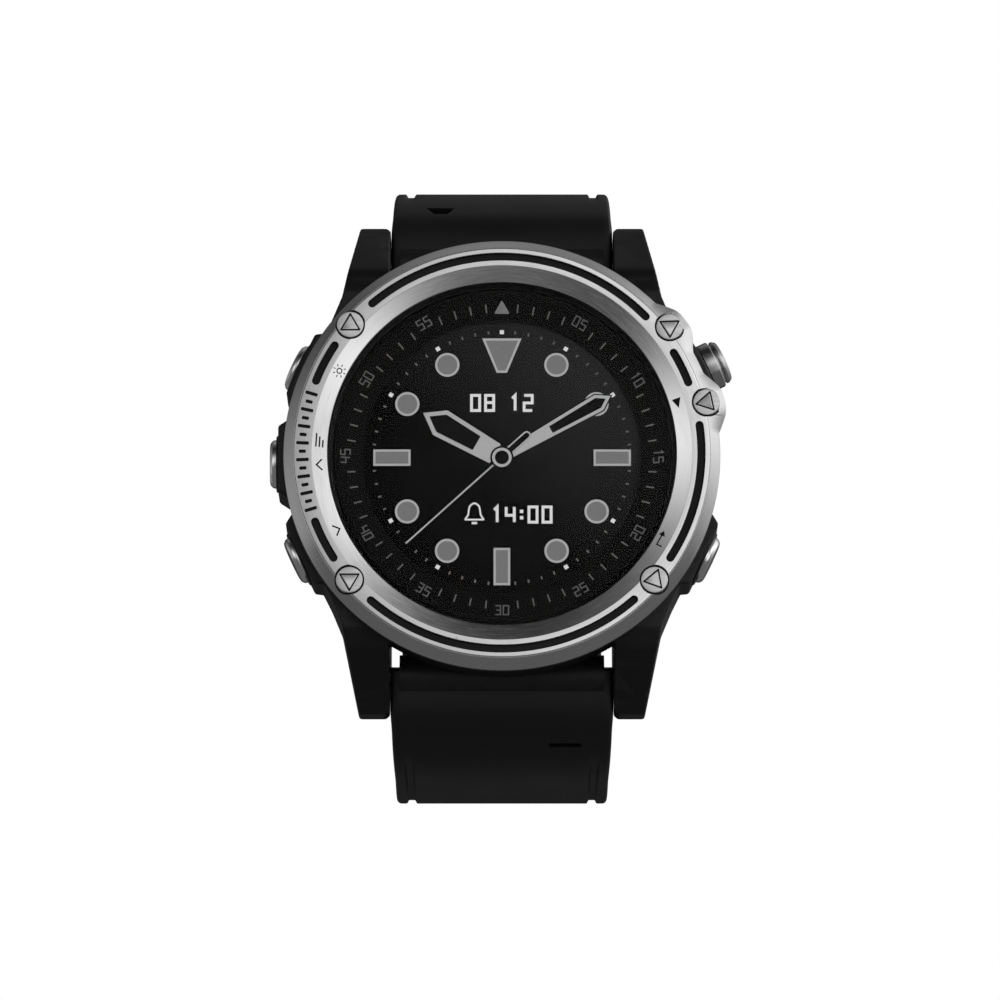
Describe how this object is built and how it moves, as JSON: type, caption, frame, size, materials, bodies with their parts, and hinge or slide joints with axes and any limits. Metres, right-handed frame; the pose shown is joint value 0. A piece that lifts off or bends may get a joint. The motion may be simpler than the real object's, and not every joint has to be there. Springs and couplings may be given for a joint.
{
  "type": "dive computer",
  "caption": "Wrist-worn dive computer with a round metal-bezelled case, domed lens, side push buttons and an open pin-buckle strap.",
  "frame": {"origin": "centre of the sensor window's outer face, where the watch rests on the wrist", "axes": "+Z towards 12 o'clock, +X towards 3 o'clock, -Y out of the dial, +Y into the wrist"},
  "size_m": [0.0543, 0.1045, 0.072],
  "materials": {
    "case_polymer": "black fibre-reinforced polymer, fine grain",
    "satin_steel": "satin stainless steel with polished slopes",
    "button_steel": "turned stainless steel",
    "screw_steel": "satin stainless steel",
    "inner_steel": "plain stainless steel",
    "lens_sapphire": "clear domed sapphire",
    "black_rubber": "moulded seal",
    "dial_black": "matt black with printed scale",
    "display_glass": "reflective display, dark",
    "board_green": "solder-masked circuit board",
    "window_black": "smoked sensor window",
    "silicone_black": "matt black silicone",
    "battery_foil": "pouch cell in foil"
  },
  "bodies": {
    "case": {"case_body": "case_polymer", "bezel": "satin_steel", "bezel_screw_upper_left": "screw_steel", "bezel_screw_lower_left": "screw_steel", "bezel_screw_lower_right": "screw_steel", "guard_screw_upper": "screw_steel", "guard_screw_lower": "screw_steel", "lens": "lens_sapphire", "lens_gasket": "black_rubber", "scale_ring": "dial_black", "display_panel": "display_glass", "display_holder": "case_polymer", "main_board": "board_green", "battery": "battery_foil", "vibration_motor": "inner_steel", "rear_cover": "satin_steel", "rear_cover_screw_1": "screw_steel", "rear_cover_screw_2": "screw_steel", "rear_cover_screw_3": "screw_steel", "rear_cover_screw_4": "screw_steel", "rear_gasket": "black_rubber", "sensor_window": "window_black", "sensor_board": "board_green", "depth_sensor": "inner_steel", "charging_port": "case_polymer", "button_start_spring": "inner_steel", "button_start_seal": "black_rubber", "button_start_bush": "inner_steel", "button_light_spring": "inner_steel", "button_light_seal": "black_rubber", "button_light_bush": "inner_steel", "button_up_spring": "inner_steel", "button_up_seal": "black_rubber", "button_up_bush": "inner_steel", "button_down_spring": "inner_steel", "button_down_seal": "black_rubber", "button_down_bush": "inner_steel", "button_back_spring": "inner_steel", "button_back_seal": "black_rubber", "button_back_bush": "inner_steel", "lug_bar_12": "inner_steel", "lug_screw_12_right": "screw_steel", "lug_screw_12_left": "screw_steel", "lug_bar_6": "inner_steel", "lug_screw_6_right": "screw_steel", "lug_screw_6_left": "screw_steel"},
    "strap_short_half": {"strap_short": "silicone_black", "keeper_fixed": "silicone_black"},
    "strap_long_half": {"strap_long": "silicone_black"},
    "buckle": {"buckle_frame": "satin_steel", "buckle_bar": "inner_steel"},
    "tang": {"buckle_tang": "satin_steel"},
    "free_keeper": {"keeper_free": "silicone_black"},
    "latch_12": {"strap_latch_12": "inner_steel"},
    "latch_6": {"strap_latch_6": "inner_steel"},
    "button_start": {"button_start": "button_steel"},
    "button_light": {"button_light": "button_steel"},
    "button_up": {"button_up": "button_steel"},
    "button_down": {"button_down": "button_steel"},
    "button_back": {"button_back": "button_steel"}
  },
  "joints": [
    {"name": "button_start_press", "type": "slide", "parent": "case", "child": "button_start", "axis": [-0.9026, 0, -0.4305], "range_m": [0, 0.00055], "stiffness_N_per_m": 900, "springref_m": -0.0015, "deforming": ["button_start_spring"]},
    {"name": "button_light_press", "type": "slide", "parent": "case", "child": "button_light", "axis": [0.9018, 0, -0.4321], "range_m": [0, 0.00055], "stiffness_N_per_m": 900, "springref_m": -0.0015, "deforming": ["button_light_spring"]},
    {"name": "button_up_press", "type": "slide", "parent": "case", "child": "button_up", "axis": [1, 0, 0], "range_m": [0, 0.00055], "stiffness_N_per_m": 900, "springref_m": -0.0015, "deforming": ["button_up_spring"]},
    {"name": "button_down_press", "type": "slide", "parent": "case", "child": "button_down", "axis": [0.9018, 0, 0.4321], "range_m": [0, 0.00055], "stiffness_N_per_m": 900, "springref_m": -0.0015, "deforming": ["button_down_spring"]},
    {"name": "button_back_press", "type": "slide", "parent": "case", "child": "button_back", "axis": [-0.9026, 0, 0.4305], "range_m": [0, 0.00055], "stiffness_N_per_m": 900, "springref_m": -0.0015, "deforming": ["button_back_spring"]},
    {"name": "strap_short_swing", "type": "hinge", "parent": "case", "child": "strap_short_half", "pos_m": [0, -0.0049, 0.0245], "axis": [1, 0, 0], "range_deg": [-4, 50]},
    {"name": "strap_long_swing", "type": "hinge", "parent": "case", "child": "strap_long_half", "pos_m": [0, -0.0049, -0.0245], "axis": [-1, 0, 0], "range_deg": [-4, 50]},
    {"name": "buckle_swing", "type": "hinge", "parent": "strap_short_half", "child": "buckle", "pos_m": [0, 0.02885, -0.00915], "axis": [1, 0, 0], "range_deg": [-20, 35]},
    {"name": "tang_lift", "type": "hinge", "parent": "buckle", "child": "tang", "pos_m": [0, 0.02885, -0.00915], "axis": [1, 0, 0], "range_deg": [0, 70]},
    {"name": "keeper_slide", "type": "slide", "parent": "strap_short_half", "child": "free_keeper", "axis": [0, 0, 1], "range_m": [-0.0029, 0.0026]},
    {"name": "latch_12_slide", "type": "slide", "parent": "strap_short_half", "child": "latch_12", "axis": [0, 0.803, 0.5959], "range_m": [0, 0.0012], "stiffness_N_per_m": 300, "springref_m": -0.0015},
    {"name": "latch_6_slide", "type": "slide", "parent": "strap_long_half", "child": "latch_6", "axis": [0, 0.803, -0.5959], "range_m": [0, 0.0012], "stiffness_N_per_m": 300, "springref_m": -0.0015}
  ]
}
